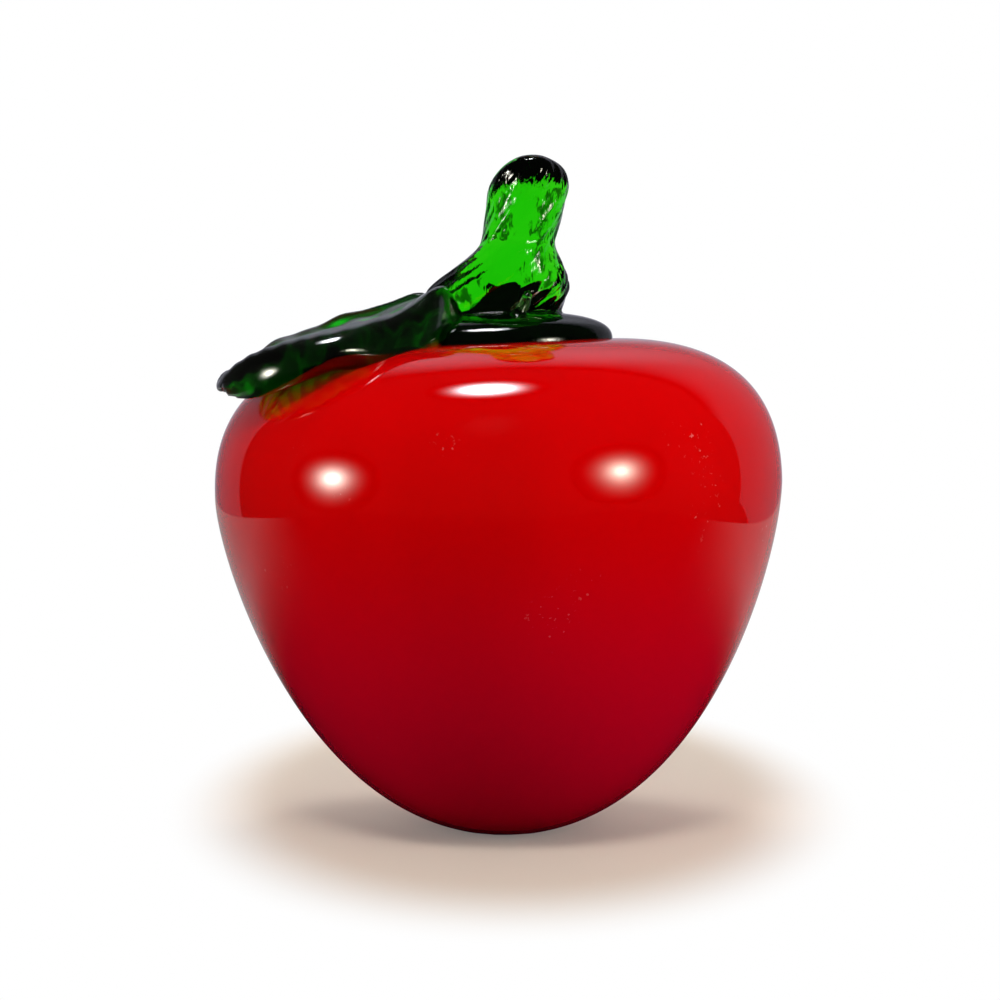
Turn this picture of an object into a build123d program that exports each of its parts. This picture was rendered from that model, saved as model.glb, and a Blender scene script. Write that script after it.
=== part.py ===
from build123d import *
from math import cos, sin, exp, pi, radians
import os

# Hand-blown glass apple, millimetres. Everything is first built on the apple's own upright axis, with
# Z = 0 near the floor, and is then leaned as one, because the body stands a little off plumb.

# body
belly_radius = 50.0
belly_height = 60.7
pole_drop = 1.0  # how far the round bottom would reach below the floor before the foot is ground flat
crest_radius = 19.2
crest_height = 86.0
dimple_depth = 5.0
base_fullness = 0.726  # handle of the bottom curve, as a share of the belly radius
flank_fullness = 0.18  # handle below the belly, as a share of the height under it
shoulder_rise = 0.385  # handle above the belly, as a share of the height over it
shoulder_reach = 0.90  # handle outside the crest, as a share of the step from crest to belly
lean_angle = 2.45  # the top leans to -X

# blown hollow
side_wall = 5.0
base_wall = 8.0
crown_wall = 6.0
neck_radius = 5.5  # hole left by the blowpipe, closed by the pad's plug

# pad of green glass that closes the neck and carries the stem
pad_radius = 21.6
pad_thickness = 5.6  # above the crest, in the pad's middle
pad_roundness = 0.552  # handles of the pad's curve, as shares of its radius and thickness
plug_overhang = 2.0

# stem: a gathered, twisted bit with a swollen foot, pulled up and to the side
stem_foot_radius = 12.4
stem_bulb_radius = 12.7
stem_waist_radius = 6.7
stem_head_radius = 7.1
stem_seat = 4.6  # where the stem starts, above the crest
stem_height = 28.0
bulb_share = 0.15  # bulb, waist and head as shares of the stem's height
waist_share = 0.475
head_share = 0.78
stem_start = -0.7  # the stem's middle at its foot, off the apple's axis
stem_run = 8.7  # its sideways run from there to the top, towards +X
stem_front_radius = 7.3  # the stem is flattened in front and behind
stem_heel_radius = 18.0  # its foot spreads behind, over the pad
heel_share = 0.18
stem_nod = 4.5  # the head nods to the front
nod_share = 0.70
stem_sink = 1.5  # overlap into the pad before the seat is cut
stem_twist = 150.0
stem_lobes = 5
lobe_depth = 0.045
lobe_steps = 4  # curve steps across each lobe

# leaf: a broad pressed bit that stands out over the shoulder, with a thick rolled near edge, a shallow
# valley and a wavy far edge; its sections hang on a ridge line that runs from the stem to the tip
leaf_length = 50.2
leaf_root = 13.0  # the leaf starts this far behind its own reference point, inside the stem
leaf_x = -13.0
leaf_y = -7.0
leaf_heading = 22.0  # turned from -X towards -Y
leaf_near_width = 27.0
leaf_far_width = 16.0
along_handles = (0.15, 0.92)  # how the sections are spread from root to tip
width_handles = (0.8, 1.2)  # how the leaf widens from the root and narrows to the tip
ridge_root = 12.0  # ridge line over the crest: root, two handles, tip
ridge_root_handle = 4.8
ridge_tip_handle = 5.0
ridge_tip = -3.0
hump_rise = 2.2  # where the leaf climbs the stem
hump_place = -1.0
hump_span = 5.0
roll_share = 0.86  # top of the near roll, as a share of the near width
leaf_rim = 5.7  # thickness at the near roll
leaf_lip = 2.6  # the part of it that is rounded from below
leaf_plate = 3.7
leaf_valley = 1.2
plate_share = 0.45  # where the plate starts to thicken towards the near roll
thicken_share = 0.40
far_round_share = 0.2  # the far edge is rounded over this share of the far width
far_rise = 2.2  # a wave lifts the far edge, this far from the reference point and this long
far_peak = 6.5
far_span = 6.0
far_drop = 0.8
leaf_tip_round = 3.4
leaf_sections = 11


def apple_face(belly, pole, crest, crest_z, dimple_z):
    below = belly_height - pole
    above = crest_z - belly_height
    top_handle = crest + shoulder_reach * (belly - crest)
    bottom = Bezier((0, 0, pole), (base_fullness * belly, 0, pole),
                    (belly, 0, belly_height - flank_fullness * below), (belly, 0, belly_height))
    shoulder = Bezier((belly, 0, belly_height), (belly, 0, belly_height + shoulder_rise * above),
                      (top_handle, 0, crest_z), (crest, 0, crest_z))
    dimple = Bezier((crest, 0, crest_z), (crest * 0.72, 0, crest_z),
                    (crest * 0.45, 0, dimple_z), (0, 0, dimple_z))
    axis_line = Line((0, 0, dimple_z), (0, 0, pole))
    return make_face([bottom, shoulder, dimple, axis_line])


def make_body():
    outside = apple_face(belly_radius, -pole_drop, crest_radius, crest_height, dimple_floor)
    inside = apple_face(belly_radius - side_wall, base_wall, crest_radius, crest_height - crown_wall,
                        dimple_floor - crown_wall)
    neck = Pos(0, 0, dimple_floor) * Cylinder(neck_radius, 4 * crown_wall)
    return revolve(outside, Axis.Z, 360) - revolve(inside, Axis.Z, 360) - neck


# low dome, a core that fills the dimple under it and a plug in the neck, seated by cutting the body away
def make_pad(body):
    top = crest_height + pad_thickness
    plug_end = dimple_floor - crown_wall - plug_overhang
    dome = Bezier((0, 0, top), (pad_roundness * pad_radius, 0, top),
                  (pad_radius, 0, crest_height + pad_roundness * pad_thickness),
                  (pad_radius, 0, crest_height))
    skirt = Polyline((pad_radius, 0, crest_height), (pad_radius, 0, dimple_floor),
                     (neck_radius, 0, dimple_floor), (neck_radius, 0, plug_end),
                     (0, 0, plug_end), (0, 0, top))
    blank = revolve(make_face([dome, skirt]), Axis.Z, 360)
    return blank - body


def ease(share):
    share = min(max(share, 0.0), 1.0)
    return share * share * (3 - 2 * share)


# radius at a share of the stem's height: foot, bulb, waist, head and a round cap
def stem_radius(share):
    if share > head_share:
        cap = (share - head_share) / (1 - head_share)
        return stem_head_radius * (1 - cap * cap) ** 0.5
    foot = ease(share / bulb_share)
    flank = ease((share - bulb_share) / (waist_share - bulb_share))
    neck = ease((share - waist_share) / (head_share - waist_share))
    return (stem_foot_radius + (stem_bulb_radius - stem_foot_radius) * foot
            + (stem_waist_radius - stem_bulb_radius) * flank + (stem_head_radius - stem_waist_radius) * neck)


# one twisted section: a smooth curve for each lobe, from groove to groove
def stem_section(share):
    radius = stem_radius(share)
    pitch = 2 * pi / stem_lobes
    start = radians(stem_twist) * share
    nod = stem_nod * (max(share - nod_share, 0) / (1 - nod_share)) ** 2
    middle = Vector(stem_start + stem_run * sin(pi / 2 * share), -nod, stem_base + stem_height * share)
    front = min(stem_front_radius / radius, 1)
    heel = stem_heel_radius / radius
    back = heel + (front - heel) * ease(share / heel_share)

    def depth(angle):
        return back if sin(angle) > 0 else front

    curves = []
    for lobe in range(stem_lobes):
        points = []
        for step in range(lobe_steps + 1):
            reach = radius * (1 - lobe_depth * cos(2 * pi * step / lobe_steps))
            angle = start + pitch * (lobe + step / lobe_steps)
            points.append(middle + Vector(reach * cos(angle), reach * sin(angle) * depth(angle), 0))
        ends = [start + pitch * lobe, start + pitch * (lobe + 1)]
        tangents = [Vector(-sin(angle), cos(angle) * depth(angle), 0) for angle in ends]
        curves.append(Spline(points, tangents=tangents))
    return Face(Wire(curves))


def make_stem(pad):
    low = -stem_sink / stem_height
    shares = [low + (head_share - low) * step / 7 for step in range(8)]
    shares += [head_share + (1 - head_share) * sin(radians(angle)) for angle in (35, 60, 78)]
    return loft([stem_section(share) for share in shares]) - pad


def bezier_at(t, a, b, c, d):
    return (1 - t) ** 3 * a + 3 * (1 - t) ** 2 * t * b + 3 * (1 - t) * t * t * c + t ** 3 * d


# quarter round: 0 where a rim starts, 1 where it stands upright
def round_off(share):
    share = min(max(share, 0.0), 1.0)
    return 1 - (1 - share * share) ** 0.5


# top and underside over the ridge line, at a place across from -1 (far edge) to 1 (near edge)
def leaf_heights(along, place):
    far_place = 1 - far_round_share
    roll = round_off((place - roll_share) / (1 - roll_share))
    climb = ease((roll_share - place) / (roll_share + far_place))
    far_edge = far_rise * exp(-((along - far_peak) / far_span) ** 2) - far_drop
    plate_top = far_edge * climb - 4 * leaf_valley * climb * (1 - climb)
    plate_under = plate_top - leaf_plate
    far_rim = leaf_plate / 2 * round_off((-place - far_place) / far_round_share)
    top = plate_top - (leaf_rim - leaf_lip) * roll - far_rim
    thick = ease((place - plate_share) / thicken_share)
    under = plate_under + far_rim + (leaf_lip * roll - leaf_rim - plate_under) * thick
    return top, under


def leaf_section(t):
    share = bezier_at(t, 0, *along_handles, 1)
    along = leaf_length * share - leaf_root
    bow = bezier_at(t, 0, *width_handles, 0)
    ridge = bezier_at(t, ridge_root, ridge_root_handle, ridge_tip_handle, ridge_tip)
    ridge += hump_rise * exp(-((along - hump_place) / hump_span) ** 2)
    middle = crest_height + ridge - leaf_rim / 2
    closing = 1 - round_off(1 - leaf_length * (1 - share) / leaf_tip_round)
    outward = Vector(-cos(radians(leaf_heading)), -sin(radians(leaf_heading)), 0)
    across = Vector(0, 0, 1).cross(outward)

    def point(place, side):
        wide = bow * (leaf_near_width if place > 0 else leaf_far_width)
        height = (leaf_heights(along, place)[side] + leaf_rim / 2) * closing
        return Vector(leaf_x, leaf_y, middle + height) + outward * along + across * (place * wide)

    rolled = [roll_share + (1 - roll_share) * step for step in (0, 0.57, 0.89, 1)]
    over_places = [-1, -0.95, -0.8, -0.45, -0.1, 0.3, 0.6] + rolled
    below_places = rolled[::-1] + [0.65, 0.45, 0.1, -0.4, -0.8, -0.95, -1]
    over = Spline([point(place, 0) for place in over_places])
    below = Spline([point(place, 1) for place in below_places])
    return Face(Wire([over, below]))


# seated by cutting away what it lies on
def make_leaf(cutters):
    steps = [0.03 + 0.955 * step / (leaf_sections - 1) for step in range(leaf_sections)]
    leaf = loft([leaf_section(t) for t in steps])
    for cutter in cutters:
        leaf = leaf - cutter
    return leaf


dimple_floor = crest_height - dimple_depth
stem_base = crest_height + stem_seat

body_upright = make_body()
pad_upright = make_pad(body_upright)
stem_upright = make_stem(pad_upright)
leaf_upright = make_leaf([body_upright, pad_upright, stem_upright])

# the apple leans as one, and its foot is ground flat on the floor
lean = Rot(0, -lean_angle, 0)
reach = 4 * belly_radius
above_floor = Pos(0, 0, reach / 2) * Box(reach, reach, reach)
nodes = {
    "apple_body": (lean * body_upright) & above_floor,
    "stem_pad": lean * pad_upright,
    "stem": lean * stem_upright,
    "leaf": lean * leaf_upright,
}

os.makedirs("parts", exist_ok=True)
for name, shape in nodes.items():
    export_step(shape, "parts/" + name + ".step")
    box = shape.bounding_box()
    print(name, len(shape.solids()), "solid", round(shape.volume / 1000, 2), "cm3", box.min, box.max)
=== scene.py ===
import math
import bpy
import bmesh
from mathutils import Matrix, Vector


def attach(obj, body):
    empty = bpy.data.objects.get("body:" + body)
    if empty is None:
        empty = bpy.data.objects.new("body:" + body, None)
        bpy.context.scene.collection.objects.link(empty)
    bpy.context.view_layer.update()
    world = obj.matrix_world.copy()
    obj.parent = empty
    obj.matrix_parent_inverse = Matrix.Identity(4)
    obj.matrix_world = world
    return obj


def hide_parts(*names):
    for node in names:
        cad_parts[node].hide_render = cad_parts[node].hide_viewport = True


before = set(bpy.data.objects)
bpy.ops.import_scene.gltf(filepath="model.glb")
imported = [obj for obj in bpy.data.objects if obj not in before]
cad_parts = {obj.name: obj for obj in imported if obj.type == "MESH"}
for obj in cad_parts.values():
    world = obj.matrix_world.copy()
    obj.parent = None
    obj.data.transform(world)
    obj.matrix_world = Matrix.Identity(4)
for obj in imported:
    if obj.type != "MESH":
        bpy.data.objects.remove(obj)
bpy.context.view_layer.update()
mm = 0.001


# hex colour to the linear values that sockets take
def hexToLinear(text):
    values = [int(text[i:i + 2], 16) / 255 for i in (1, 3, 5)]
    linear = [v / 12.92 if v <= 0.04045 else ((v + 0.055) / 1.055) ** 2.4 for v in values]
    return (*linear, 1.0)


# adds a node with its settings; an input takes a value, a socket, or a node for that node's first output.
# Inputs that share a name go by number: Map Range has 0 value, 1 and 2 from, 3 and 4 to; Mix has 0 share, 6 and 7 colours
def addNode(tree, kind, inputs=None, **settings):
    node = tree.nodes.new(kind)
    for key, value in settings.items():
        setattr(node, key, value)
    for key, value in (inputs or {}).items():
        if isinstance(value, bpy.types.Node):
            value = value.outputs[0]
        if isinstance(value, bpy.types.NodeSocket):
            tree.links.new(value, node.inputs[key])
        else:
            node.inputs[key].default_value = value
    return node


def newMaterial(name):
    material = bpy.data.materials.new(name)
    material.use_nodes = True
    material.node_tree.nodes.clear()
    return material, material.node_tree


def smoothStep(share):
    share = min(max(share, 0.0), 1.0)
    return share * share * (3 - 2 * share)


# quarter round: 0 where a rim starts, 1 where it ends upright
def roundOff(share):
    return 1 - math.sqrt(max(1 - min(max(share, 0.0), 1.0) ** 2, 0.0))


def bezierAt(t, a, b, c, d):
    return (1 - t) ** 3 * a + 3 * (1 - t) ** 2 * t * b + 3 * (1 - t) * t * t * c + t ** 3 * d


def bezierPoints(points, steps):
    return [tuple(bezierAt(i / steps, *[p[k] for p in points]) for k in range(len(points[0])))
            for i in range(steps + 1)]


# makes a smooth mesh object; the matrix takes its points from millimetres to their place
def meshObject(name, verts, faces, matrix, material):
    mesh = bpy.data.meshes.new(name)
    mesh.from_pydata(verts, [], faces)
    mesh.transform(matrix)
    mesh.polygons.foreach_set("use_smooth", [True] * len(mesh.polygons))
    mesh.materials.append(material)
    mesh.update()
    thing = bpy.data.objects.new(name, mesh)
    bpy.context.scene.collection.objects.link(thing)
    return thing


# evaluates an object's modifiers into a plain mesh object and drops the source
def bakeObject(source, name):
    bpy.context.view_layer.update()
    graph = bpy.context.evaluated_depsgraph_get()
    mesh = bpy.data.meshes.new_from_object(source.evaluated_get(graph))
    mesh.name = name
    baked = bpy.data.objects.new(name, mesh)
    bpy.context.scene.collection.objects.link(baked)
    bpy.data.objects.remove(source)
    return baked


# four-sided faces between neighbouring rings of points
def ringFaces(rings, around):
    faces = []
    for i in range(rings - 1):
        for j in range(around):
            k = (j + 1) % around
            faces.append((i * around + j, i * around + k, (i + 1) * around + k, (i + 1) * around + j))
    return faces


# the same with a flat face at each end
def tubeFaces(rings, around):
    last = (rings - 1) * around
    return ringFaces(rings, around) + [tuple(reversed(range(around))), tuple(last + j for j in range(around))]


# the whole apple is drawn upright and leans a little to -X on its flat foot
leanDegrees = 2.45
leanToWorld = Matrix.Rotation(math.radians(-leanDegrees), 4, "Y") @ Matrix.Scale(mm, 4)

# red glass: opaque and fire polished, a deep red with faint drawn streaks, slow waves, a few specks of dust and
# handling smudges; low down it is painted a bluer red, a painted reflection that stands in for the faint blue cast the
# shaded lower body takes from the floor; sizes in millimetres
redLook = {
    "darkRed": "#B80000", "brightRed": "#CC0003", "streakSize": (18.18, 18.18, 111.11),
    # painted reflection: the bluer red low down stands in for the floor's faint blue cast on the shaded lower body
    "paintedReflectionRed": "#BC0022", "lowFrom": 12.0, "lowTo": 62.0,
    "dust": "#D88C88", "dustAmount": 0.4, "dustSize": 0.909, "dustTops": (0.64, 0.74),
    "patchSize": 14.29, "patchTops": (0.62, 0.7),  # the dust lies in patches
    "smudgeSize": 22.22, "smudgeTops": (0.55, 0.85), "polishRough": 0.02, "smudgeRough": 0.10,
    "waveSize": 26.32, "waveHeight": 0.4, "waveStrength": 0.04,
}
redGlass, tree = newMaterial("opaqueRedGlass")
coords = addNode(tree, "ShaderNodeTexCoord").outputs["Object"]
height = addNode(tree, "ShaderNodeSeparateXYZ", {0: coords}).outputs["Z"]
drawn = addNode(tree, "ShaderNodeMapping", {
    "Vector": coords, "Scale": [1 / (size * mm) for size in redLook["streakSize"]]})
streaks = addNode(tree, "ShaderNodeTexNoise", {"Vector": drawn, "Scale": 1.0, "Detail": 3.0})
redMix = addNode(tree, "ShaderNodeMix", {
    0: streaks, 6: hexToLinear(redLook["darkRed"]), 7: hexToLinear(redLook["brightRed"])}, data_type="RGBA")
specks = addNode(tree, "ShaderNodeTexNoise", {
    "Vector": coords, "Scale": 1 / (redLook["dustSize"] * mm), "Detail": 3.0})
speckTops = addNode(tree, "ShaderNodeMapRange", {
    0: specks, 1: redLook["dustTops"][0], 2: redLook["dustTops"][1], 3: 0.0, 4: redLook["dustAmount"]})
patches = addNode(tree, "ShaderNodeTexNoise", {
    "Vector": coords, "Scale": 1 / (redLook["patchSize"] * mm), "Detail": 1.0})
patchTops = addNode(tree, "ShaderNodeMapRange", {
    0: patches, 1: redLook["patchTops"][0], 2: redLook["patchTops"][1], 3: 0.0, 4: 1.0})
dust = addNode(tree, "ShaderNodeMath", {0: speckTops, 1: patchTops}, operation="MULTIPLY")
dusted = addNode(tree, "ShaderNodeMix", {
    0: dust, 6: redMix.outputs[2], 7: hexToLinear(redLook["dust"])}, data_type="RGBA")
# painted reflection: a bluer red, full below lowFrom and gone by lowTo, for the floor's faint blue cast
paintedReflectionMask = addNode(tree, "ShaderNodeMapRange", {
    0: height, 1: redLook["lowFrom"] * mm, 2: redLook["lowTo"] * mm, 3: 1.0, 4: 0.0}, interpolation_type="SMOOTHSTEP")
paintedReflectionTint = addNode(tree, "ShaderNodeMix", {
    0: paintedReflectionMask, 6: dusted.outputs[2], 7: hexToLinear(redLook["paintedReflectionRed"])}, data_type="RGBA")
smudges = addNode(tree, "ShaderNodeTexNoise", {
    "Vector": coords, "Scale": 1 / (redLook["smudgeSize"] * mm), "Detail": 5.0})
smudgeRough = addNode(tree, "ShaderNodeMapRange", {
    0: smudges, 1: redLook["smudgeTops"][0], 2: redLook["smudgeTops"][1],
    3: redLook["polishRough"], 4: redLook["smudgeRough"]})
waves = addNode(tree, "ShaderNodeTexNoise", {
    "Vector": coords, "Scale": 1 / (redLook["waveSize"] * mm), "Detail": 1.0})
waveBump = addNode(tree, "ShaderNodeBump", {
    "Height": waves, "Strength": redLook["waveStrength"], "Distance": redLook["waveHeight"] * mm})
redShader = addNode(tree, "ShaderNodeBsdfPrincipled", {
    "Base Color": paintedReflectionTint.outputs[2], "Roughness": smudgeRough, "IOR": 1.5, "Normal": waveBump})
addNode(tree, "ShaderNodeOutputMaterial", {"Surface": redShader})

# green glass: clear and fire polished, takes up red and blue, so thin edges look yellow green and thick parts dark;
# the leaf's gather holds more colour, and a haze under its clear skin hides what lies behind it. "passes" is the colour
# that gets through, and the density is for a metre of glass
greenLooks = {
    "clearGreenGlass": {"passes": "#A0F534", "density": 486.8, "cordStrength": 0.42, "haze": 0.0, "skin": 0.0},
    "deepGreenGlass": {"passes": "#00F13F", "density": 2000.0, "cordStrength": 0.08, "haze": 0.15, "skin": 1.0},
}
# cords: fine ripples left when the stem was pulled, that fade out on the pad
cordLook = {"size": (1.25, 1.25, 7.69), "slant": -30.0, "height": 0.5, "fadeFrom": 90.0, "fadeTo": 98.0, "onPad": 0.15}


def makeGreenGlass(name, look):
    glass, tree = newMaterial(name)
    coords = addNode(tree, "ShaderNodeTexCoord").outputs["Object"]
    height = addNode(tree, "ShaderNodeSeparateXYZ", {0: coords}).outputs["Z"]
    pulled = addNode(tree, "ShaderNodeMapping", {
        "Vector": coords, "Rotation": (0.0, math.radians(cordLook["slant"]), 0.0),
        "Scale": [1 / (size * mm) for size in cordLook["size"]]})
    cords = addNode(tree, "ShaderNodeTexNoise", {"Vector": pulled, "Scale": 1.0, "Detail": 2.0})
    drawnOut = addNode(tree, "ShaderNodeMapRange", {
        0: height, 1: cordLook["fadeFrom"] * mm, 2: cordLook["fadeTo"] * mm, 3: cordLook["onPad"], 4: 1.0},
        interpolation_type="SMOOTHSTEP")
    cordHeight = addNode(tree, "ShaderNodeMath", {0: cords, 1: drawnOut}, operation="MULTIPLY")
    cordBump = addNode(tree, "ShaderNodeBump", {
        "Height": cordHeight, "Strength": look["cordStrength"], "Distance": cordLook["height"] * mm})
    shader = addNode(tree, "ShaderNodeBsdfPrincipled", {
        "Base Color": hexToLinear("#FFFFFF"), "Roughness": look["haze"], "IOR": 1.5, "Transmission Weight": 1.0,
        "Coat Weight": look["skin"], "Coat Roughness": 0.0, "Coat IOR": 1.5, "Normal": cordBump})
    takeUp = addNode(tree, "ShaderNodeVolumeAbsorption", {
        "Color": hexToLinear(look["passes"]), "Density": look["density"]})
    addNode(tree, "ShaderNodeOutputMaterial", {"Surface": shader, "Volume": takeUp})
    return glass


clearGreenGlass, deepGreenGlass = [makeGreenGlass(name, look) for name, look in greenLooks.items()]

# painted shade: an opaque dark green core inside the pad, put where light through the green glass over the red body
# goes dark; it reads as black under its clear skin
paintedShadeLook = {"darkGreen": "#020D03", "cloudGreen": "#071F0A", "cloudSize": 6.25}
paintedShadeGlass, tree = newMaterial("paintedShadeGreen")
coords = addNode(tree, "ShaderNodeTexCoord").outputs["Object"]
clouds = addNode(tree, "ShaderNodeTexNoise", {
    "Vector": coords, "Scale": 1 / (paintedShadeLook["cloudSize"] * mm), "Detail": 2.0})
paintedShadeMix = addNode(tree, "ShaderNodeMix", {
    0: clouds, 6: hexToLinear(paintedShadeLook["darkGreen"]), 7: hexToLinear(paintedShadeLook["cloudGreen"])}, data_type="RGBA")
paintedShadeShader = addNode(tree, "ShaderNodeBsdfPrincipled", {
    "Base Color": paintedShadeMix.outputs[2], "Roughness": 0.4, "Specular IOR Level": 0.0})  # it lies in glass, so no shine
addNode(tree, "ShaderNodeOutputMaterial", {"Surface": paintedShadeShader})
print("materials made")

# blown body: one closed outside skin, spun from the same curves as the solid
bodySizes = {
    "bellyRadius": 49.98, "bellyHeight": 60.7, "poleDrop": 1.0, "crestRadius": 19.2, "crestHeight": 86.0,
    "dimpleDepth": 5.0, "baseFullness": 0.726, "flankFullness": 0.18, "shoulderRise": 0.385, "shoulderReach": 0.90,
    "dimpleHandles": (0.72, 0.45), "steps": (90, 50, 24), "around": 256,
    "handWobble": 0.12, "wobbles": 3, "wobbleRise": 22.0,  # slightly out of round, as hand work is
}


def bodyProfile(s):
    belly, height, pole = s["bellyRadius"], s["bellyHeight"], -s["poleDrop"]
    crest, top = s["crestRadius"], s["crestHeight"]
    floor = top - s["dimpleDepth"]
    outer, inner = [share * crest for share in s["dimpleHandles"]]
    bottom = [(0, pole), (s["baseFullness"] * belly, pole),
              (belly, height - s["flankFullness"] * (height - pole)), (belly, height)]
    shoulder = [(belly, height), (belly, height + s["shoulderRise"] * (top - height)),
                (crest + s["shoulderReach"] * (belly - crest), top), (crest, top)]
    dimple = [(crest, top), (outer, top), (inner, floor), (0, floor)]
    rings = []
    for curve, steps in zip((bottom, shoulder, dimple), s["steps"]):
        rings += bezierPoints(curve, steps)[1:]
    return rings[:-1], pole, floor


def makeBody(s):
    rings, pole, floor = bodyProfile(s)
    around = s["around"]
    verts = []
    for radius, height in rings:
        for j in range(around):
            turn = 2 * math.pi * j / around
            wave = 0.5 + 0.5 * math.cos(s["wobbles"] * turn + height / s["wobbleRise"])
            reach = radius - s["handWobble"] * wave * radius / s["bellyRadius"]
            verts.append((reach * math.cos(turn), reach * math.sin(turn), height))
    faces = ringFaces(len(rings), around)
    last = (len(rings) - 1) * around
    verts += [(0, 0, pole), (0, 0, floor)]
    for j in range(around):
        k = (j + 1) % around
        faces.append((len(verts) - 2, k, j))
        faces.append((len(verts) - 1, last + j, last + k))
    body = meshObject("appleBody", verts, faces, leanToWorld, redGlass)
    for v in body.data.vertices:
        v.co.z = max(v.co.z, 0.0)  # the foot is ground flat
    body.data.update()
    return body


appleBody = makeBody(bodySizes)
print("body made", len(appleBody.data.polygons), "faces")

# stem: a twisted, lobed tube with a swollen foot, pulled to the side, by Geometry Nodes; its foot spreads behind to
# the right as a heel and its head nods to the front
stemSizes = {
    "Start Height": 85.0, "Seat Height": 90.6, "Height": 27.8, "Foot Radius": 12.3, "Bulb Radius": 12.6,
    "Waist Radius": 6.6, "Head Radius": 7.0, "Bulb Share": 0.15, "Waist Share": 0.475, "Head Share": 0.78,
    "Start Offset": -0.7, "Run": 8.7, "Front Radius": 7.2, "Heel Radius": 18.0, "Heel Share": 0.22,
    "Heel Left": -0.3, "Heel Right": 0.5, "Nod": 4.5, "Nod Share": 0.7, "Twist": 2.7,
    "Lobes": 5.0, "Lobe Depth": 0.028, "Ridges": 17.0, "Ridge Depth": 0.016, "Lump Size": 0.4, "Lump Pitch": 6.25,
    "Steps Along": 220, "Steps Around": 180,
}


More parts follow.
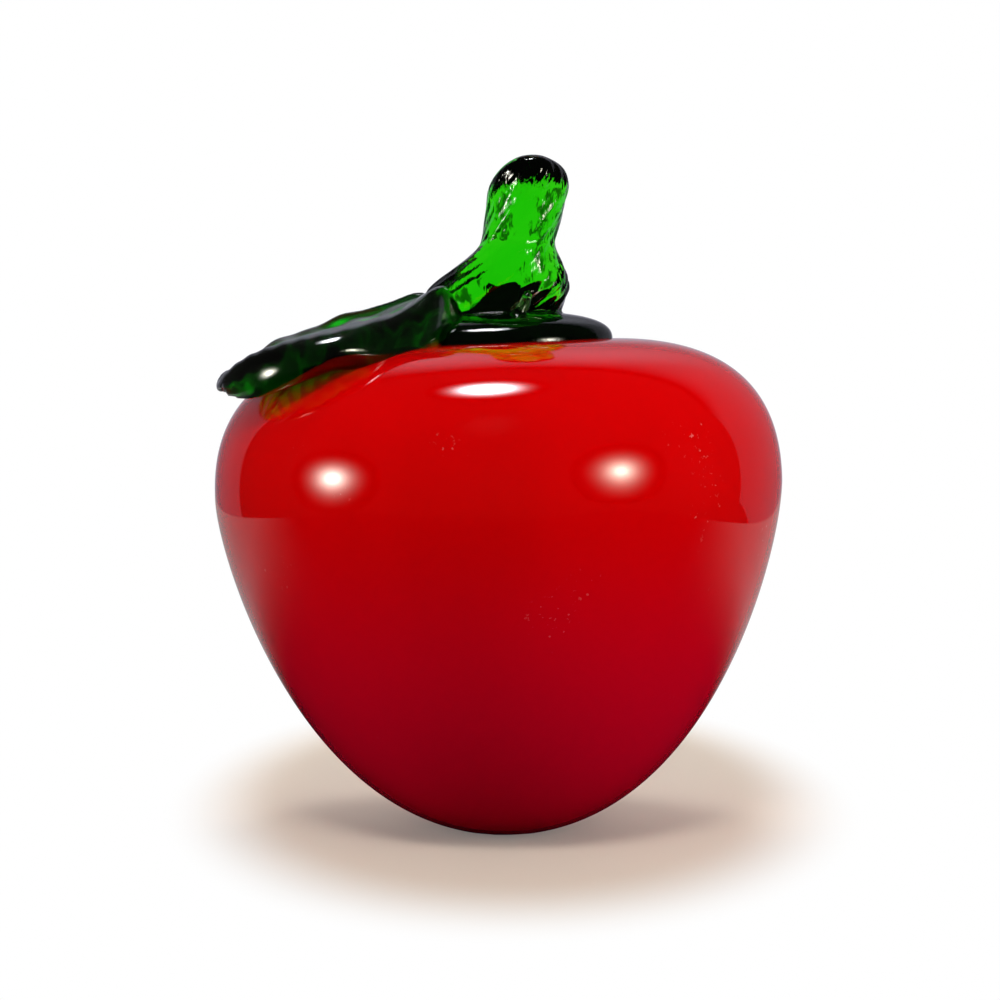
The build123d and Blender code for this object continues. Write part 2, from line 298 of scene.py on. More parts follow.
def stemTree(sizes):
    group = bpy.data.node_groups.new("twistedStem", "GeometryNodeTree")
    group.interface.new_socket("Geometry", in_out="OUTPUT", socket_type="NodeSocketGeometry")
    for key, value in sizes.items():
        kind = "NodeSocketInt" if isinstance(value, int) else "NodeSocketFloat"
        socket = group.interface.new_socket(key, in_out="INPUT", socket_type=kind)
        socket.default_value = value
    size = addNode(group, "NodeGroupInput").outputs

    # share of the height: 0 at the seat, 1 at the top
    spot = addNode(group, "GeometryNodeInputPosition")
    xyz = addNode(group, "ShaderNodeSeparateXYZ", {0: spot}).outputs
    overSeat = addNode(group, "ShaderNodeMath", {0: xyz["Z"], 1: size["Seat Height"]}, operation="SUBTRACT")
    share = addNode(group, "ShaderNodeMath", {0: overSeat, 1: size["Height"]}, operation="DIVIDE")

    # upright line, turned along its length
    topHeight = addNode(group, "ShaderNodeMath", {0: size["Seat Height"], 1: size["Height"]}, operation="ADD")
    low = addNode(group, "ShaderNodeCombineXYZ", {"Z": size["Start Height"]})
    high = addNode(group, "ShaderNodeCombineXYZ", {"Z": topHeight})
    line = addNode(group, "GeometryNodeCurvePrimitiveLine", {"Start": low, "End": high})
    fine = addNode(group, "GeometryNodeResampleCurve", {"Curve": line, "Count": size["Steps Along"]})
    twist = addNode(group, "ShaderNodeMath", {0: share, 1: size["Twist"]}, operation="MULTIPLY")
    turned = addNode(group, "GeometryNodeSetCurveTilt", {"Curve": fine, "Tilt": twist})

    # radius: foot, bulb, waist and head, each eased into the next, then a round cap
    bulb = addNode(group, "ShaderNodeMapRange", {
        0: share, 1: 0.0, 2: size["Bulb Share"], 3: size["Foot Radius"], 4: size["Bulb Radius"]},
        interpolation_type="SMOOTHSTEP")
    flank = addNode(group, "ShaderNodeMapRange", {
        0: share, 1: size["Bulb Share"], 2: size["Waist Share"], 3: bulb, 4: size["Waist Radius"]},
        interpolation_type="SMOOTHSTEP")
    swell = addNode(group, "ShaderNodeMapRange", {
        0: share, 1: size["Waist Share"], 2: size["Head Share"], 3: flank, 4: size["Head Radius"]},
        interpolation_type="SMOOTHSTEP")
    cap = addNode(group, "ShaderNodeMapRange", {0: share, 1: size["Head Share"], 2: 1.0, 3: 0.0, 4: 1.0})
    capSquare = addNode(group, "ShaderNodeMath", {0: cap, 1: cap}, operation="MULTIPLY")
    capLeft = addNode(group, "ShaderNodeMath", {0: 1.0, 1: capSquare}, operation="SUBTRACT")
    capOpen = addNode(group, "ShaderNodeMath", {0: capLeft, 1: 0.0004}, operation="MAXIMUM")  # never quite a point
    dome = addNode(group, "ShaderNodeMath", {0: capOpen}, operation="SQRT")
    radius = addNode(group, "ShaderNodeMath", {0: swell, 1: dome}, operation="MULTIPLY")

    # profile: a circle with a few lobes and many small ridges
    angle = addNode(group, "ShaderNodeMath", {0: xyz["Y"], 1: xyz["X"]}, operation="ARCTAN2")
    rises = []
    for count, depth in (("Lobes", "Lobe Depth"), ("Ridges", "Ridge Depth")):
        turns = addNode(group, "ShaderNodeMath", {0: angle, 1: size[count]}, operation="MULTIPLY")
        wave = addNode(group, "ShaderNodeMath", {0: turns}, operation="COSINE")
        rises.append(addNode(group, "ShaderNodeMath", {0: wave, 1: size[depth]}, operation="MULTIPLY"))
    rise = addNode(group, "ShaderNodeMath", {0: rises[0], 1: rises[1]}, operation="ADD")
    reach = addNode(group, "ShaderNodeMath", {0: 1.0, 1: rise}, operation="ADD")
    lobed = addNode(group, "ShaderNodeVectorMath", {0: spot, "Scale": reach}, operation="SCALE")
    ring = addNode(group, "GeometryNodeCurvePrimitiveCircle", {
        "Resolution": size["Steps Around"], "Radius": 1.0}, mode="RADIUS")
    profile = addNode(group, "GeometryNodeSetPosition", {0: ring, "Position": lobed})
    tube = addNode(group, "GeometryNodeCurveToMesh", {
        "Curve": turned, "Profile Curve": profile, "Scale": radius, "Fill Caps": True})

    # small lumps of hand work, along the surface's normal
    lumpScale = addNode(group, "ShaderNodeMath", {0: 1.0, 1: size["Lump Pitch"]}, operation="DIVIDE")
    lumps = addNode(group, "ShaderNodeTexNoise", {"Scale": lumpScale, "Detail": 2.0})
    lumpRise = addNode(group, "ShaderNodeMath", {0: lumps, 1: 0.5}, operation="SUBTRACT")
    push = addNode(group, "ShaderNodeMath", {0: lumpRise, 1: size["Lump Size"]}, operation="MULTIPLY")
    normal = addNode(group, "GeometryNodeInputNormal")
    lump = addNode(group, "ShaderNodeVectorMath", {0: normal, "Scale": push}, operation="SCALE")

    # sideways run: quick at the foot, upright at the top
    quarter = addNode(group, "ShaderNodeMath", {0: share, 1: math.pi / 2}, operation="MULTIPLY")
    swing = addNode(group, "ShaderNodeMath", {0: quarter}, operation="SINE")
    run = addNode(group, "ShaderNodeMath", {0: size["Run"], 1: swing}, operation="MULTIPLY")
    aside = addNode(group, "ShaderNodeMath", {0: size["Start Offset"], 1: run}, operation="ADD")

    # depth: flat in front, with the heel behind to the right
    frontShare = addNode(group, "ShaderNodeMath", {0: size["Front Radius"], 1: swell}, operation="DIVIDE")
    front = addNode(group, "ShaderNodeMath", {0: frontShare, 1: 1.0}, operation="MINIMUM")
    heel = addNode(group, "ShaderNodeMath", {0: size["Heel Radius"], 1: swell}, operation="DIVIDE")
    rightShare = addNode(group, "ShaderNodeMath", {0: xyz["X"], 1: swell}, operation="DIVIDE")
    heelRight = addNode(group, "ShaderNodeMapRange", {
        0: rightShare, 1: size["Heel Left"], 2: size["Heel Right"], 3: front, 4: heel}, interpolation_type="SMOOTHSTEP")
    back = addNode(group, "ShaderNodeMapRange", {
        0: share, 1: 0.0, 2: size["Heel Share"], 3: heelRight, 4: front}, interpolation_type="SMOOTHSTEP")
    behind = addNode(group, "ShaderNodeMath", {0: xyz["Y"], 1: 0.0}, operation="GREATER_THAN")
    depth = addNode(group, "ShaderNodeMapRange", {0: behind, 1: 0.0, 2: 1.0, 3: front, 4: back})
    stretch = addNode(group, "ShaderNodeMath", {0: depth, 1: 1.0}, operation="SUBTRACT")
    stretched = addNode(group, "ShaderNodeMath", {0: xyz["Y"], 1: stretch}, operation="MULTIPLY")

    # nod of the head to the front
    nodShare = addNode(group, "ShaderNodeMapRange", {0: share, 1: size["Nod Share"], 2: 1.0, 3: 0.0, 4: 1.0})
    nodSquare = addNode(group, "ShaderNodeMath", {0: nodShare, 1: nodShare}, operation="MULTIPLY")
    nod = addNode(group, "ShaderNodeMath", {0: size["Nod"], 1: nodSquare}, operation="MULTIPLY")
    inward = addNode(group, "ShaderNodeMath", {0: stretched, 1: nod}, operation="SUBTRACT")

    lean = addNode(group, "ShaderNodeCombineXYZ", {"X": aside, "Y": inward})
    offset = addNode(group, "ShaderNodeVectorMath", {0: lump, 1: lean}, operation="ADD")
    moved = addNode(group, "GeometryNodeSetPosition", {0: tube, "Offset": offset})
    real = addNode(group, "GeometryNodeRealizeInstances", {0: moved})
    done = addNode(group, "GeometryNodeSetMaterial", {0: real, "Material": clearGreenGlass})
    addNode(group, "NodeGroupOutput", {0: done})
    return group


def makeStem(sizes):
    group = stemTree(sizes)
    holder = bpy.data.objects.new("stemHolder", bpy.data.meshes.new("stemHolder"))
    bpy.context.scene.collection.objects.link(holder)
    modifier = holder.modifiers.new("twistedStem", "NODES")
    modifier.node_group = group
    for item in group.interface.items_tree:
        if item.in_out == "INPUT":
            modifier[item.identifier] = sizes[item.name]
    stem = bakeObject(holder, "stemBit")
    stem.data.transform(leanToWorld)
    return stem


# leaf: a broad pressed bit that stands out over the shoulder, with a thick rolled near edge, a shallow valley and a
# wavy far edge; its sections follow one ridge line from the stem (root) to the tip
leafSizes = {
    "start": (-13.0, -7.0, 86.0), "heading": 22.0, "length": 46.7, "root": 10.5, "alongHandles": (0.15, 0.92),
    "farWidth": 16.0, "nearWidth": 27.0, "widthHandles": (0.5, 1.36), "along": 170, "across": 72,
    # ridge line over the crest, with a hump where it climbs the stem and a drop inside it
    "ridge": (12.0, 4.8, 5.0, -3.0), "humpRise": 2.2, "humpPlace": -1.0, "humpSpan": 5.0,
    "rootDrop": 7.5, "rootDropFrom": -3.0, "rootDropSpan": 7.5,
    # near roll: its thickness, more of it at the root and the tip
    "rollAt": 0.7, "rollFrom": 0.45, "rollSpan": 0.4, "lip": 3.4, "rim": 7.2,
    "rootRim": 3.7, "rootRimTo": 22.0, "rootRimSpan": 16.0, "tipRim": 0.8, "tipRimFrom": 20.0, "tipRimSpan": 10.0,
    # plate, thinner in its far half
    "plate": 3.6, "valley": 1.2, "farPlate": 2.8, "farPlateFrom": 0.4, "farPlateSpan": 0.5,
    # far edge: one lifted wave, small waves, a curl at the rim and a droop towards the tip
    "farRise": 1.6, "farPeak": 9.0, "farSpan": 6.0, "farDrop": 1.6, "farSink": 2.4, "farSinkFrom": 20.0,
    "farSinkSpan": 9.0, "farCurl": 1.2, "farCurlFrom": 0.75, "farRim": 0.16,
    "farWaves": 0.22, "farWaveTurns": (0.75, 0.3, 0.31), "farWaveSpan": 0.5,
    # ribs slant from the midrib and fade out before the roll
    "ribPitch": 4.2, "ribAngle": 48.0, "ribFrom": 3.0, "ribFade": 0.4, "topRibs": 0.1, "underRibs": 0.4,
    "midribDepth": 0.5, "midribWidth": 1.3, "tipRound": 4.8, "tipMiddle": 0.24,
}


# thickness of the near roll, u millimetres along the ridge line
def leafRim(s, u):
    return (s["rim"] + s["rootRim"] * smoothStep((s["rootRimTo"] - u) / s["rootRimSpan"])
            + s["tipRim"] * smoothStep((u - s["tipRimFrom"]) / s["tipRimSpan"]))


def leafRidge(s, t, u):
    hump = s["humpRise"] * math.exp(-((u - s["humpPlace"]) / s["humpSpan"]) ** 2)
    return bezierAt(t, *s["ridge"]) + hump - s["rootDrop"] * smoothStep((s["rootDropFrom"] - u) / s["rootDropSpan"])


# top and underside of the leaf over its ridge line, at a place q across from -1 (far edge) to 1 (near edge), which is
# v millimetres off the ridge line
def leafHeights(s, u, q, v):
    climb = max(s["rollAt"] - q, 0) / (s["rollAt"] + 1)
    farEdge = s["farRise"] * math.exp(-((u - s["farPeak"]) / s["farSpan"]) ** 2) - s["farDrop"]
    farEdge -= s["farSink"] * smoothStep((u - s["farSinkFrom"]) / s["farSinkSpan"])
    curl = s["farCurl"] * smoothStep((climb - s["farCurlFrom"]) / (1 - s["farCurlFrom"]))
    top = farEdge * climb ** 2 - 4 * s["valley"] * climb * (1 - climb) + curl
    thin = smoothStep((climb - s["farPlateFrom"]) / s["farPlateSpan"])
    thick = s["plate"] + (s["farPlate"] - s["plate"]) * thin
    under = top - thick

    slope = abs(v) / math.tan(math.radians(s["ribAngle"]))
    ribs = math.cos(2 * math.pi * (u - slope) / s["ribPitch"])
    ribs *= smoothStep(v / s["ribFrom"]) * smoothStep((1 - q) / s["ribFade"])
    alongTurn, acrossTurn, slowTurn = s["farWaveTurns"]
    waves = s["farWaves"] * math.sin(alongTurn * u + acrossTurn * v) * math.sin(slowTurn * u + 1.0)
    waves *= smoothStep(-q / s["farWaveSpan"])
    midrib = s["midribDepth"] * math.exp(-(v / s["midribWidth"]) ** 2)

    rim = leafRim(s, u)
    roll = roundOff((q - s["rollAt"]) / (1 - s["rollAt"]))
    farRim = 0.5 * thick * roundOff((s["farRim"] - 1 - q) / s["farRim"])
    top += waves + s["topRibs"] * ribs - midrib - (rim - s["lip"]) * roll - farRim
    under += 0.5 * waves + s["underRibs"] * ribs - midrib + farRim
    under += (s["lip"] * roll - rim - under) * smoothStep((q - s["rollFrom"]) / s["rollSpan"])
    return top, under


def makeLeaf(s):
    heading = math.radians(s["heading"])
    outward = Vector((-math.cos(heading), -math.sin(heading), 0))
    across = Vector((0, 0, 1)).cross(outward)
    start = Vector(s["start"])
    places = [-math.cos(math.pi * k / s["across"]) for k in range(s["across"] + 1)]
    loop = [(q, 0) for q in places] + [(q, 1) for q in reversed(places[1:-1])]
    verts = []
    for i in range(s["along"] + 1):
        t = 0.5 - 0.5 * math.cos(math.pi * i / s["along"])
        share = bezierAt(t, 0, *s["alongHandles"], 1)
        u = share * s["length"] - s["root"]
        ridge = leafRidge(s, t, u)
        bow = max(bezierAt(t, 0, *s["widthHandles"], 0), 0.001)
        closing = 1 - roundOff(1 - (1 - share) * s["length"] / s["tipRound"])  # the tip closes on its own middle
        middle = s["tipMiddle"] * leafRim(s, u)
        for q, side in loop:
            v = q * bow * (s["nearWidth"] if q > 0 else s["farWidth"])
            height = (leafHeights(s, u, q, v)[side] + middle) * closing - middle
            verts.append(start + outward * u + across * v + Vector((0, 0, ridge + height)))
    leaf = meshObject("leafBit", verts, ringFaces(s["along"] + 1, len(loop)), leanToWorld, deepGreenGlass)
    work = bmesh.new()
    work.from_mesh(leaf.data)
    bmesh.ops.remove_doubles(work, verts=work.verts, dist=0.02 * mm)
    bmesh.ops.holes_fill(work, edges=work.edges)
    bmesh.ops.recalc_face_normals(work, faces=work.faces)
    work.to_mesh(leaf.data)
    work.free()
    return leaf


# pad: the spread foot of green glass, a little flatter in front and sunk into the red body so that no air shows
# between them; "under" lists its lower rings as a share of the radius and a depth
padSizes = {
    "radius": 21.6, "base": 86.0, "thickness": 5.4, "fullness": 0.82, "under": ((1.0, 0.9), (0.8, 3.5), (0.3, 7.0)),
    "frontShare": 0.79, "wander": 0.4, "wanderTurns": 2, "wanderStart": 0.8, "rings": 26, "around": 180,
}
heartSizes = {**padSizes, "radius": 21.0, "thickness": 5.0}  # the dark core of painted shade, a clear skin's depth inside the pad


def makePad(s, material):
    radius, base, around = s["radius"], s["base"], s["around"]
    bends = [0.5 * math.pi * k / s["rings"] for k in range(1, s["rings"] + 1)]
    outline = [(radius * math.sin(bend) ** s["fullness"],
                base + s["thickness"] * max(math.cos(bend), 0.0) ** s["fullness"]) for bend in bends]
    outline += [(share * radius, base - depth) for share, depth in s["under"]]
    verts = []
    for reach, height in outline:
        for j in range(around):
            turn = 2 * math.pi * j / around
            wave = 0.5 + 0.5 * math.cos(s["wanderTurns"] * turn + s["wanderStart"])
            r = reach * (1 - s["wander"] / radius * wave)
            deep = s["frontShare"] if math.sin(turn) < 0 else 1.0
            verts.append((r * math.cos(turn), deep * r * math.sin(turn), height))
    faces = [tuple(reversed(face)) for face in tubeFaces(len(outline), around)]
    return meshObject("padBit", verts, faces, leanToWorld, material)


# knob: the dark core of painted shade rises into the foot of the stem, flat on top and wider below
knobSizes = {"middle": (0.9, 0.0), "radius": 2.8, "spread": 2.4, "base": 88.0, "top": 96.6, "lean": 1.8,
             "flatness": 6, "endRadius": 0.02, "rings": 24, "around": 64}


def makeKnob(s):
    around, steps = s["around"], s["rings"]
    verts = []
    for i in range(steps + 1):
        share = i / steps
        height = s["base"] + (s["top"] - s["base"]) * math.sin(0.5 * math.pi * share)
        radius = (s["radius"] + s["spread"] * (1 - share) ** 2) * max(1 - share ** s["flatness"], 0.0) ** 0.5
        radius += s["endRadius"]
        for j in range(around):
            turn = 2 * math.pi * j / around
            verts.append((s["middle"][0] + s["lean"] * share + radius * math.cos(turn),
                          s["middle"][1] + radius * math.sin(turn), height))
    return meshObject("knobBit", verts, tubeFaces(steps + 1, around), leanToWorld, paintedShadeGlass)


# fold: a short roll of glass left where the foot was pressed on
foldSizes = {"path": ((3.6, -9.0, 88.6), (3.4, -9.6, 91.0), (6.8, -9.4, 91.6), (6.4, -7.2, 95.0)), "radius": 1.0,
             "bluntness": 4, "endRadius": 0.02, "rings": 30, "around": 20}


def makeFold(s):
    around, steps = s["around"], s["rings"]
    points = [Vector(point) for point in bezierPoints(s["path"], steps)]
    verts = []
    for i, point in enumerate(points):
        along = (points[min(i + 1, steps)] - points[max(i - 1, 0)]).normalized()
        side = along.cross(Vector((0, 1, 0))).normalized()
        front = side.cross(along)
        radius = s["radius"] * max(1 - (2 * i / steps - 1) ** s["bluntness"], 0.0) ** 0.5 + s["endRadius"]
        for j in range(around):
            turn = 2 * math.pi * j / around
            verts.append(point + radius * (math.cos(turn) * side + math.sin(turn) * front))
    return meshObject("foldBit", verts, tubeFaces(steps + 1, around), leanToWorld, clearGreenGlass)


# bits that ran together while hot are fused into one skin and their joints melted round
fuseSizes = {"voxel": 0.32, "meltSteps": 8, "meltAmount": 0.5}


def fuseBits(name, bits, s, glass):
    verts, faces = [], []
    for bit in bits:
        start = len(verts)
        verts += [v.co.copy() for v in bit.data.vertices]
        faces += [tuple(start + k for k in p.vertices) for p in bit.data.polygons]
        bpy.data.objects.remove(bit)
    joined = meshObject("greenJoined", verts, faces, Matrix.Identity(4), glass)
    remesh = joined.modifiers.new("fuse", "REMESH")
    remesh.mode = "VOXEL"
    remesh.voxel_size = s["voxel"] * mm
    remesh.use_smooth_shade = True
    melt = joined.modifiers.new("melt", "SMOOTH")
    melt.iterations = s["meltSteps"]
    melt.factor = s["meltAmount"]
    fused = bakeObject(joined, name)
    fused.data.polygons.foreach_set("use_smooth", [True] * len(fused.data.polygons))
    return fused


stemBit = makeStem(stemSizes)
print("stem made", len(stemBit.data.polygons), "faces")
leafBit = makeLeaf(leafSizes)
padBit = makePad(padSizes, clearGreenGlass)
heartBit = makePad(heartSizes, paintedShadeGlass)
greenStem = fuseBits("greenStem", [stemBit, padBit, makeFold(foldSizes)], fuseSizes, clearGreenGlass)
# the pad's dark core and knob are painted shade, an opaque dark mass inside the clear green glass
greenPad = fuseBits("greenPad", [heartBit, makeKnob(knobSizes)], fuseSizes, paintedShadeGlass)
greenLeaf = fuseBits("greenLeaf", [leafBit], fuseSizes, deepGreenGlass)
print("green bits made", [len(piece.data.polygons) for piece in (greenStem, greenPad, greenLeaf)], "faces")

# board: plain white to the camera and through clear glass, except for an oval round the apple that keeps its shadow;
# mirror images show it nearly black, and pale far behind
board = {
    "left": -300.0, "right": 260.0, "front": -250.0, "back": 900.0,
    "ovalBehind": 38.0, "ovalSquash": 1.95, "ovalFrom": 84.0, "ovalTo": 128.0, "ovalWhite": 0.12,
    "shadeColour": "#DBCDBD", "lightColour": "#8E8882", "mirrorColour": "#140A16",
    "paleStrength": 0.4, "paleFrom": -60.0, "paleTo": 100.0, "paleRingFrom": 80.0, "paleRingTo": 180.0,
}
boardWhite, tree = newMaterial("whiteBoard")
path = addNode(tree, "ShaderNodeLightPath").outputs
spot = addNode(tree, "ShaderNodeTexCoord").outputs["Object"]
oval = addNode(tree, "ShaderNodeMapping", {
    "Vector": spot, "Location": (0.0, -board["ovalBehind"] * mm, 0.0), "Scale": (board["ovalSquash"], 1.0, 1.0)})
ovalReach = addNode(tree, "ShaderNodeVectorMath", {0: oval}, operation="LENGTH").outputs["Value"]
fade = addNode(tree, "ShaderNodeMapRange", {
    0: ovalReach, 1: board["ovalFrom"] * mm, 2: board["ovalTo"] * mm, 3: board["ovalWhite"], 4: 1.0},
    interpolation_type="SMOOTHSTEP")
shaded = addNode(tree, "ShaderNodeBsdfDiffuse", {"Color": hexToLinear(board["shadeColour"])})
blank = addNode(tree, "ShaderNodeEmission", {"Color": hexToLinear("#FFFFFF"), "Strength": 1.0})
cameraBoard = addNode(tree, "ShaderNodeMixShader", {0: fade, 1: shaded, 2: blank})

depth = addNode(tree, "ShaderNodeSeparateXYZ", {0: spot}).outputs["Y"]
farOff = addNode(tree, "ShaderNodeVectorMath", {0: spot}, operation="LENGTH").outputs["Value"]
behind = addNode(tree, "ShaderNodeMapRange", {
    0: depth, 1: board["paleFrom"] * mm, 2: board["paleTo"] * mm, 3: 0.0, 4: 1.0}, interpolation_type="SMOOTHSTEP")
outer = addNode(tree, "ShaderNodeMapRange", {
    0: farOff, 1: board["paleRingFrom"] * mm, 2: board["paleRingTo"] * mm, 3: 0.0, 4: 1.0},
    interpolation_type="SMOOTHSTEP")
farBehind = addNode(tree, "ShaderNodeMath", {0: outer, 1: behind}, operation="MULTIPLY")
dull = addNode(tree, "ShaderNodeBsdfDiffuse", {"Color": hexToLinear(board["mirrorColour"])})
pale = addNode(tree, "ShaderNodeEmission", {"Color": hexToLinear("#FFFFFF"), "Strength": board["paleStrength"]})
mirrorBoard = addNode(tree, "ShaderNodeMixShader", {0: farBehind, 1: dull, 2: pale})

lit = addNode(tree, "ShaderNodeBsdfDiffuse", {"Color": hexToLinear(board["lightColour"])})
unseenBoard = addNode(tree, "ShaderNodeMixShader", {0: path["Is Glossy Ray"], 1: lit, 2: mirrorBoard})
seenRays = addNode(tree, "ShaderNodeMath", {
    0: path["Is Camera Ray"], 1: path["Is Transmission Ray"]}, operation="MAXIMUM")
boardShader = addNode(tree, "ShaderNodeMixShader", {0: seenRays, 1: unseenBoard, 2: cameraBoard})
addNode(tree, "ShaderNodeOutputMaterial", {"Surface": boardShader})

# wall: plain white far behind; mirror images show it dim and a little blue, brighter in two bands behind the apple
wall = {
    "left": -1300.0, "right": 2300.0, "low": -300.0, "high": 1700.0, "tint": "#EDEDFF", "glow": 0.224,
    "bandGlow": 0.28, "bandFrom": 150.0, "bandTo": 500.0, "lowBandFrom": 120.0, "lowBandTo": 400.0,
    "highBandFrom": 350.0, "highBandTo": 800.0, "topFrom": 900.0, "topTo": 1600.0,
}
wallWhite, tree = newMaterial("whiteWall")
path = addNode(tree, "ShaderNodeLightPath").outputs
spot = addNode(tree, "ShaderNodeTexCoord").outputs["Object"]
wallSpot = addNode(tree, "ShaderNodeSeparateXYZ", {0: spot}).outputs
aside = addNode(tree, "ShaderNodeMath", {0: wallSpot["X"]}, operation="ABSOLUTE")
middle = addNode(tree, "ShaderNodeMapRange", {
    0: aside, 1: wall["bandFrom"] * mm, 2: wall["bandTo"] * mm, 3: wall["bandGlow"], 4: 0.0},
    interpolation_type="SMOOTHSTEP")
highBand = addNode(tree, "ShaderNodeMapRange", {
    0: wallSpot["Z"], 1: wall["highBandFrom"] * mm, 2: wall["highBandTo"] * mm, 3: 0.0, 4: middle},
    interpolation_type="SMOOTHSTEP")
lowBand = addNode(tree, "ShaderNodeMapRange", {
    0: wallSpot["Z"], 1: wall["lowBandFrom"] * mm, 2: wall["lowBandTo"] * mm, 3: middle, 4: 0.0},
    interpolation_type="SMOOTHSTEP")
bands = addNode(tree, "ShaderNodeMath", {0: highBand, 1: lowBand}, operation="ADD")
allGlow = addNode(tree, "ShaderNodeMath", {0: bands, 1: wall["glow"]}, operation="ADD")
mirrorGlow = addNode(tree, "ShaderNodeMapRange", {
    0: wallSpot["Z"], 1: wall["topFrom"] * mm, 2: wall["topTo"] * mm, 3: allGlow, 4: 0.0},
    interpolation_type="SMOOTHSTEP")
mirrored = addNode(tree, "ShaderNodeMath", {
    0: path["Is Glossy Ray"], 1: path["Is Transmission Ray"]}, operation="SUBTRACT", use_clamp=True)
wallGlow = addNode(tree, "ShaderNodeMapRange", {0: mirrored, 1: 0.0, 2: 1.0, 3: 1.0, 4: mirrorGlow})
wallTint = addNode(tree, "ShaderNodeMix", {
    0: mirrored, 6: hexToLinear("#FFFFFF"), 7: hexToLinear(wall["tint"])}, data_type="RGBA")
glow = addNode(tree, "ShaderNodeEmission", {"Color": wallTint.outputs[2], "Strength": wallGlow})
addNode(tree, "ShaderNodeOutputMaterial", {"Surface": glow})


def stagePlane(name, corners, material):
    return meshObject(name, corners, [(0, 1, 2, 3)], Matrix.Scale(mm, 4), material)


boardObject = stagePlane("board", [
    (board["left"], board["front"], 0), (board["right"], board["front"], 0),
    (board["right"], board["back"], 0), (board["left"], board["back"], 0)], boardWhite)
wallObject = stagePlane("wall", [
    (wall["left"], board["back"], wall["low"]), (wall["right"], board["back"], wall["low"]),
    (wall["right"], board["back"], wall["high"]), (wall["left"], board["back"], wall["high"])], wallWhite)
wallObject.visible_transmission = False
print("board and wall made")

# lamps: round shades with a hot middle, placed by azimuth (from -Y towards +X) and elevation round the apple;
# three small ones give only the shine, five larger ones give only the light
lamps = {
    "leftShine": {"azimuth": -66.4, "elevation": 6.5, "distance": 700.0, "core": 26.0, "edge": 205.0,
                  "stretch": 1.3, "strength": 32.0, "fall": 5.0, "colour": "#FFFBEC", "shine": True},
    "rightShine": {"azimuth": 47.8, "elevation": 10.0, "distance": 700.0, "core": 18.0, "edge": 215.0,
                   "stretch": 1.2, "strength": 30.0, "fall": 5.0, "colour": "#FFFBE6", "shine": True},
    "topShine": {"azimuth": -90.0, "elevation": 86.0, "distance": 800.0, "core": 84.0, "edge": 210.0,
                 "stretch": 1.0, "strength": 30.0, "fall": 5.0, "colour": "#F8F8FF", "shine": True},
    "overheadLamp": {"azimuth": 180.0, "elevation": 70.0, "distance": 800.0, "core": 90.0, "edge": 240.0,
                     "stretch": 1.0, "strength": 12.5, "fall": 2.5, "colour": "#FFFFFF", "shine": False},
    "frontLamp": {"azimuth": -6.0, "elevation": 49.0, "distance": 900.0, "core": 90.0, "edge": 240.0,
                  "stretch": 1.0, "strength": 21.5, "fall": 2.5, "colour": "#FFFCF6", "shine": False},
    "frontFill": {"azimuth": 0.0, "elevation": 8.0, "distance": 1200.0, "core": 200.0, "edge": 500.0,
                  "stretch": 1.0, "strength": 4.6, "fall": 2.5, "colour": "#FFF8EE", "shine": False},
    "rightLamp": {"azimuth": 84.0, "elevation": 4.0, "distance": 1200.0, "core": 200.0, "edge": 500.0,
                  "stretch": 1.0, "strength": 11.0, "fall": 2.5, "colour": "#FFF8EE", "shine": False},
    "leftLamp": {"azimuth": -85.0, "elevation": 6.0, "distance": 1200.0, "core": 200.0, "edge": 500.0,
                 "stretch": 1.0, "strength": 6.4, "fall": 2.5, "colour": "#FFF8EE", "shine": False},
}
lampAim = Vector((0, 0, 66))
lampSteps = 48


def makeLamp(name, s):
    azimuth, elevation = math.radians(s["azimuth"]), math.radians(s["elevation"])
    away = Vector((math.sin(azimuth) * math.cos(elevation), -math.cos(azimuth) * math.cos(elevation),
                   math.sin(elevation)))
    turns = [2 * math.pi * k / lampSteps for k in range(lampSteps)]
    verts = [(s["edge"] * math.cos(turn), s["edge"] * math.sin(turn), 0) for turn in turns]
    shade, tree = newMaterial(name + "Shade")
    spot = addNode(tree, "ShaderNodeTexCoord").outputs["Object"]
    radius = addNode(tree, "ShaderNodeVectorMath", {0: spot}, operation="LENGTH").outputs["Value"]
    fall = addNode(tree, "ShaderNodeMapRange", {0: radius, 1: s["core"] * mm, 2: s["edge"] * mm, 3: 1.0, 4: 0.0})
    soft = addNode(tree, "ShaderNodeMath", {0: fall, 1: s["fall"]}, operation="POWER")
    level = addNode(tree, "ShaderNodeMath", {0: soft, 1: s["strength"]}, operation="MULTIPLY")
    glow = addNode(tree, "ShaderNodeEmission", {"Color": hexToLinear(s["colour"]), "Strength": level})
    addNode(tree, "ShaderNodeOutputMaterial", {"Surface": glow})
    lamp = meshObject(name, verts, [tuple(range(lampSteps))], Matrix.Scale(mm, 4), shade)
    turned = away.to_track_quat("Z", "Y").to_matrix().to_4x4()
    stretched = Matrix.Diagonal((s["stretch"], 1.0, 1.0, 1.0))
    lamp.matrix_world = Matrix.Translation((lampAim + away * s["distance"]) * mm) @ turned @ stretched
    lamp.visible_camera = False
    lamp.visible_glossy = s["shine"]
    lamp.visible_diffuse = not s["shine"]
    lamp.visible_transmission = False
    return lamp


for name, sizes in lamps.items():
    makeLamp(name, sizes)
print("lamps made", len(lamps))

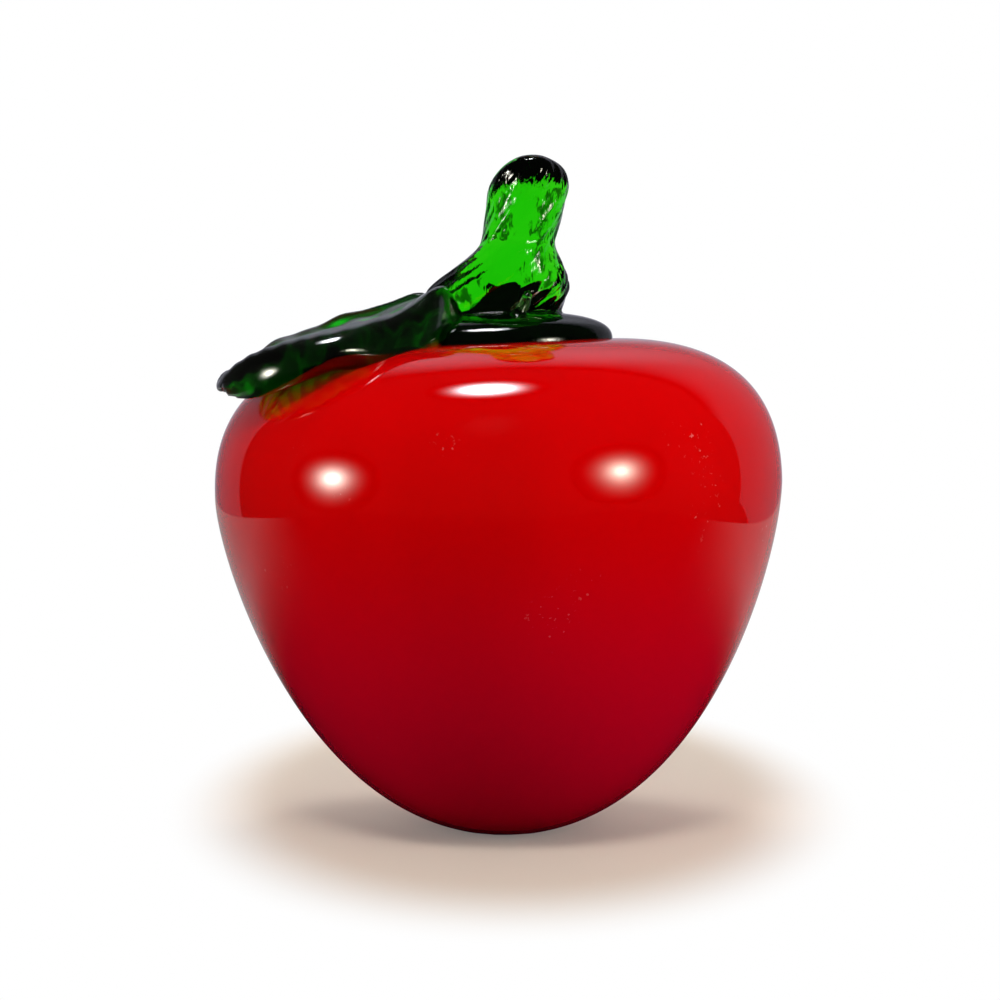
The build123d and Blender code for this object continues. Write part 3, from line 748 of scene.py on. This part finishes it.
# world: plain white to the camera, a dim room for light and mirror images, and a ring of white panels under a dim
# ceiling for what is seen through clear glass, which draws the dark lines in it
roomLook = {"colour": "#FFFCF7", "fill": 0.32, "mirror": 0.02, "panels": 8.0, "gap": 0.2, "gapTo": -0.3,
            "ceiling": 0.15, "ceilingFrom": 0.35, "ceilingTo": 0.75}
world = bpy.data.worlds.new("room")
bpy.context.scene.world = world
world.use_nodes = True
tree = world.node_tree
tree.nodes.clear()
path = addNode(tree, "ShaderNodeLightPath").outputs
fill = addNode(tree, "ShaderNodeBackground", {
    "Color": hexToLinear(roomLook["colour"]), "Strength": roomLook["fill"]})
dark = addNode(tree, "ShaderNodeBackground", {
    "Color": hexToLinear(roomLook["colour"]), "Strength": roomLook["mirror"]})
white = addNode(tree, "ShaderNodeBackground", {"Color": hexToLinear("#FFFFFF"), "Strength": 1.0})
way = addNode(tree, "ShaderNodeTexCoord").outputs["Generated"]
ways = addNode(tree, "ShaderNodeSeparateXYZ", {0: way}).outputs
turn = addNode(tree, "ShaderNodeMath", {0: ways["X"], 1: ways["Y"]}, operation="ARCTAN2")
panelTurns = addNode(tree, "ShaderNodeMath", {0: turn, 1: roomLook["panels"]}, operation="MULTIPLY")
panelWave = addNode(tree, "ShaderNodeMath", {0: panelTurns}, operation="COSINE")
panels = addNode(tree, "ShaderNodeMapRange", {
    0: panelWave, 1: -1.0, 2: roomLook["gapTo"], 3: roomLook["gap"], 4: 1.0}, interpolation_type="SMOOTHSTEP")
ceiling = addNode(tree, "ShaderNodeMapRange", {
    0: ways["Z"], 1: roomLook["ceilingFrom"], 2: roomLook["ceilingTo"], 3: panels, 4: roomLook["ceiling"]},
    interpolation_type="SMOOTHSTEP")
around = addNode(tree, "ShaderNodeBackground", {"Color": hexToLinear("#FFFFFF"), "Strength": ceiling})
room = addNode(tree, "ShaderNodeMixShader", {0: path["Is Diffuse Ray"], 1: dark, 2: fill})
clear = addNode(tree, "ShaderNodeMixShader", {0: path["Is Transmission Ray"], 1: room, 2: around})
mixed = addNode(tree, "ShaderNodeMixShader", {0: path["Is Camera Ray"], 1: clear, 2: white})
addNode(tree, "ShaderNodeOutputWorld", {"Surface": mixed})
print("world made")

# camera: at the crown's height, aimed a little down at the belly
cameraSizes = {"x": -2.29, "distance": 450.0, "height": 88.0, "aimHeight": 58.2, "lens": 91.73, "sensor": 36.0}
cameraData = bpy.data.cameras.new("camera")
cameraData.sensor_width = cameraSizes["sensor"]
cameraData.lens = cameraSizes["lens"]
cameraData.clip_start, cameraData.clip_end = 0.05, 20.0
camera = bpy.data.objects.new("camera", cameraData)
bpy.context.scene.collection.objects.link(camera)
camera.location = Vector((cameraSizes["x"], -cameraSizes["distance"], cameraSizes["height"])) * mm
aim = Vector((cameraSizes["x"], 0, cameraSizes["aimHeight"])) * mm
camera.rotation_mode = "QUATERNION"
camera.rotation_quaternion = (aim - camera.location).to_track_quat("-Z", "Y")
bpy.context.scene.camera = camera
bpy.context.scene.view_settings.view_transform = "Standard"
print("camera made")

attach(appleBody, "root")
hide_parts("apple_body")
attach(greenStem, "root")
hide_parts("stem")
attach(greenPad, "root")
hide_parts("stem_pad")
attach(greenLeaf, "root")
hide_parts("leaf")
